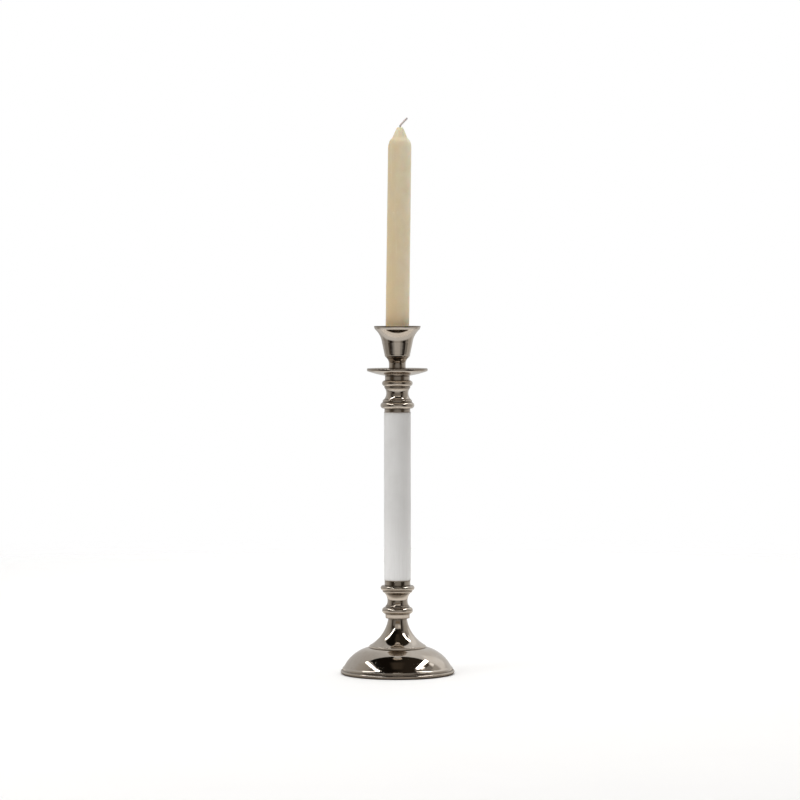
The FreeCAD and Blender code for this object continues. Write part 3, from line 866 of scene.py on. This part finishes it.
def pale_floor():
    """A round pale floor that fades away; in metal it shows only near the foot, as a darker painted
    reflection with painted shade close to the foot.
    """
    rings, turns = 24, 96
    vertices = [Vector((0, 0, 0))]
    for ring in range(1, rings + 1):
        reach = FLOOR_REACH * (ring / rings) ** 1.5
        for turn in range(turns):
            angle = 2 * math.pi * turn / turns
            vertices.append(Vector((reach * math.cos(angle), reach * math.sin(angle), 0)))
    faces = [[0, 1 + turn, 1 + (turn + 1) % turns] for turn in range(turns)]
    for ring in range(rings - 1):
        a, b = 1 + ring * turns, 1 + (ring + 1) * turns
        for turn in range(turns):
            after = (turn + 1) % turns
            faces.append([a + turn, b + turn, b + after, a + after])
    mesh = bpy.data.meshes.new("floor")
    mesh.from_pydata(vertices, [], faces)
    floor = bpy.data.objects.new("floor", mesh)
    scene.collection.objects.link(floor)

    material = bpy.data.materials.new("floor")
    material.use_nodes = True
    graph = Graph(material.node_tree)
    place = graph.add("TexCoord").outputs["Object"]
    x, y, _ = graph.split(place)
    reach = graph.math("SQRT", graph.sum(graph.times(x, x), graph.times(y, y)))
    cloud = graph.noise(place, 9.0, 4.0, 0.6)
    # in reflections the floor is a darker painted copy of itself, with painted shade close to the
    # foot
    mirrored = graph.add("LightPath").outputs["Is Glossy Ray"]
    pale = graph.mix(cloud, rgb(0.93, 0.93, 0.93), rgb(0.95, 0.95, 0.95))
    outward = graph.step(reach, *MIRRORED_SHADE)
    shaded = graph.mix(outward, rgb(0.26, 0.235, 0.205), rgb(0.68, 0.65, 0.61))
    solid = graph.add("BsdfDiffuse", {"Color": graph.mix(mirrored, pale, shaded)})
    clear = graph.add("BsdfTransparent")
    cut = graph.times(mirrored, graph.step(reach, *MIRRORED_FADE))
    share = graph.math("MAXIMUM", graph.step(reach, *FLOOR_FADE), cut)
    both = graph.add("MixShader", {0: share, 1: solid.outputs[0], 2: clear.outputs[0]})
    out = graph.add("OutputMaterial")
    graph.tree.links.new(both.outputs[0], out.inputs[0])
    mesh.materials.append(material)


pale_floor()


# The room that the metal mirrors. Angles are in degrees: azimuth 0 is in front of the object and
# grows to the right, elevation 0 is level and grows upward.
TINTS = {"grey": (1.0, 0.985, 0.96), "tan": (1.0, 0.94, 0.86), "brown": (1.0, 0.78, 0.56)}
WALLS = [
    # azimuth, tint, brightness: from behind the object, on its left round the front, and back
    (-180, "grey", 0.62), (-162, "grey", 0.48), (-140, "grey", 0.45), (-124, "grey", 0.43),
    (-108, "tan", 0.37), (-84, "tan", 0.31), (-70, "tan", 0.13), (-45, "tan", 0.16),
    (0, "tan", 0.22), (64, "tan", 0.16), (76, "tan", 0.31), (112, "tan", 0.39),
    (123, "grey", 0.43), (131, "grey", 0.56), (150, "grey", 0.6), (180, "grey", 0.6),
]
PANELS = [
    # azimuth from and to, elevation from and to, softness, tint, brightness
    (-28, 36, 26, 40, 4.0, "tan", 0.40),  # window in front
    (8, 33, 29, 37, 8.0, "tan", 0.72),  # its brightest part
    (-24, 30, 15, 24, 4.0, "brown", 0.17),  # its sill
    (-66, -34, -4, 10, 5.0, "brown", 0.07),  # dark doorways on both sides
    (34, 60, -4, 10, 5.0, "brown", 0.07),
    (-66, -52, 11, 37, 4.0, "brown", 0.035),  # dark gap on the left
    (-56, -36, 28.5, 35, 2.5, "brown", 0.018),  # and the top of it
    (38, 57, 11, 45, 3.5, "brown", 0.018),  # dark gap on the right
    (-24, 24, -30, -12, 4.0, "tan", 0.37),  # table edge in front
    (-78, -66, -28, -17, 3.0, "brown", 0.07),  # chair back on the left
    (69, 92, -29, -16, 3.0, "tan", 0.2),  # cupboard on the right
    (118, 147, 19, 52, 5.0, "grey", 0.76),  # daylight on the wall behind, on the right
    (105, 116, 39, 46, 2.0, "grey", 1.05),  # small lamp
]


def tinted(tint, brightness):
    return rgb(*(brightness * share for share in TINTS[tint]))


def studio_room():
    """White to the eye; in reflections a softly lit room with a window and two strip lights."""
    world = bpy.data.worlds.new("studio")
    scene.world = world
    world.use_nodes = True
    graph = Graph(world.node_tree)
    x, y, z = graph.split(graph.add("TexCoord").outputs["Generated"])
    azimuth = graph.math("DEGREES", graph.math("ARCTAN2", x, graph.times(y, -1.0)))
    elevation = graph.math("DEGREES", graph.math("ARCSINE", z))

    def between(value, low, high, soft):
        inside = graph.step(value, low - soft, low + soft)
        return graph.times(inside, graph.step(value, high + soft, high - soft))

    # the walls, the darker low part of the room and the panels
    around = graph.sum(graph.times(azimuth, 1 / 360), 0.5)
    room = graph.ramp(around, [(0.5 + turn / 360, tinted(*tone)) for turn, *tone in WALLS])
    low_down = graph.step(elevation, -8.0, -16.0)
    left_low = graph.times(low_down, between(azimuth, -125, -66, 6))
    right_low = graph.times(low_down, between(azimuth, 62, 125, 6))
    room = graph.mix(left_low, room, tinted("tan", 0.27))
    room = graph.mix(right_low, room, tinted("tan", 0.42))
    # a dark shelf on each side, which stands further out the lower it goes
    spread = graph.times(graph.math("MINIMUM", graph.sum(elevation, 12.0), 0.0), 1.1)
    turned = graph.sum(graph.math("ABSOLUTE", graph.sum(azimuth, -2.0)), spread)
    shelf = graph.times(between(turned, 29, 59, 5), between(elevation, -27, -2, 3))
    room = graph.mix(shelf, room, tinted("brown", 0.014))
    for left, right, low, high, soft, *tone in PANELS:
        across = between(azimuth, left, right, soft)
        upright = between(elevation, low, high, soft * 0.6)
        room = graph.mix(graph.times(across, upright), room, tinted(*tone))

    # the ceiling: slant is how far aside a point of it lies and run how far back, both for each
    # unit of its height above the object
    upward = graph.math("MAXIMUM", z, 0.01)
    slant = graph.math("DIVIDE", graph.math("ABSOLUTE", x), upward)
    run = graph.math("DIVIDE", y, upward)
    above = graph.step(z, 0.3, 0.4)
    ceiling = graph.times(between(run, -1.13, 0.34, 0.03), graph.step(slant, 0.69, 0.64), above)
    shade = graph.mix(graph.step(x, -0.15, 0.25), tinted("brown", 0.006), tinted("brown", 0.022))
    room = graph.mix(ceiling, room, shade)
    beams = graph.times(between(run, -0.62, -0.12, 0.08), graph.step(slant, 0.24, 0.08), above)
    room = graph.mix(beams, room, tinted("brown", 0.04))
    room = graph.mix(graph.step(z, -0.36, -0.52), room, tinted("grey", 0.62))

    # beside the ceiling: a strip light on each side, with a lamp and a shaded gap past the right one
    on_left = graph.math("LESS_THAN", x, 0.0)
    on_right = graph.math("GREATER_THAN", x, 0.0)
    outer_shade = graph.times(between(slant, 0.95, 1.35, 0.05), between(run, -0.25, 0.22, 0.06))
    outer_gap = graph.times(between(slant, 0.8, 0.97, 0.03), between(run, -0.13, 0.26, 0.04))
    room = graph.mix(graph.times(outer_shade, on_right, above), room, tinted("tan", 0.21))
    room = graph.mix(graph.times(outer_gap, on_right, above), room, tinted("brown", 0.05))
    forward = graph.math("MINIMUM", graph.sum(run, 0.4), 0.0)
    bent = graph.math("SUBTRACT", slant, graph.times(forward, 0.23))
    left_strip = graph.times(between(bent, 0.75, 0.87, 0.015), between(run, -1.12, 0.4, 0.05))
    right_strip = graph.times(between(slant, 0.625, 0.77, 0.015), between(run, -0.43, 0.44, 0.03))
    right_lamp = graph.times(between(slant, 0.77, 0.92, 0.03), between(run, -0.36, -0.1, 0.04))

    # the strips glare in the first mirror and are dim in the second
    path = graph.add("LightPath").outputs
    glare = graph.mix(path["Is Glossy Ray"], tinted("grey", 2.6), tinted("grey", 7.0))
    in_second = graph.math("GREATER_THAN", path["Glossy Depth"], 1.5)
    glare = graph.mix(in_second, glare, tinted("brown", 0.3))
    room = graph.mix(graph.times(left_strip, on_left, above), room, glare)
    room = graph.mix(graph.times(right_lamp, on_right, above), room, tinted("grey", 2.0))
    room = graph.mix(graph.times(right_strip, on_right, above), room, glare)
    shown = graph.mix(path["Is Camera Ray"], room, rgb(1.0, 1.0, 1.0))
    background = graph.add("Background", {"Color": shown, "Strength": 1.0})
    out = graph.add("OutputWorld")
    graph.tree.links.new(background.outputs[0], out.inputs[0])


studio_room()


LIGHTS = [
    # name, place, where it points, width, height, power
    ("light_above", (0.0, 0.1, 2.2), (0, 0, 0), 2.4, 2.4, 37.0),
    ("light_left", (-2.0, -1.2, 1.0), (0, 0, 0.25), 1.2, 1.6, 19.0),
    ("light_right", (2.1, -0.9, 1.0), (0, 0, 0.25), 1.0, 1.6, 5.0),
    ("light_behind", (0.2, 2.2, 1.3), (0, 0, 0.3), 1.8, 1.2, 14.0),
]


def soft_light(name, place, target, width, height, power):
    """A large even light that doesn't show in the metal."""
    data = bpy.data.lights.new(name, "AREA")
    data.shape = "RECTANGLE"
    data.size, data.size_y = width, height
    data.energy = power
    light = bpy.data.objects.new(name, data)
    light.location = place
    light.rotation_mode = "QUATERNION"
    light.rotation_quaternion = (Vector(target) - Vector(place)).to_track_quat("-Z", "Y")
    light.visible_glossy = False
    scene.collection.objects.link(light)


for light_entry in LIGHTS:
    soft_light(*light_entry)
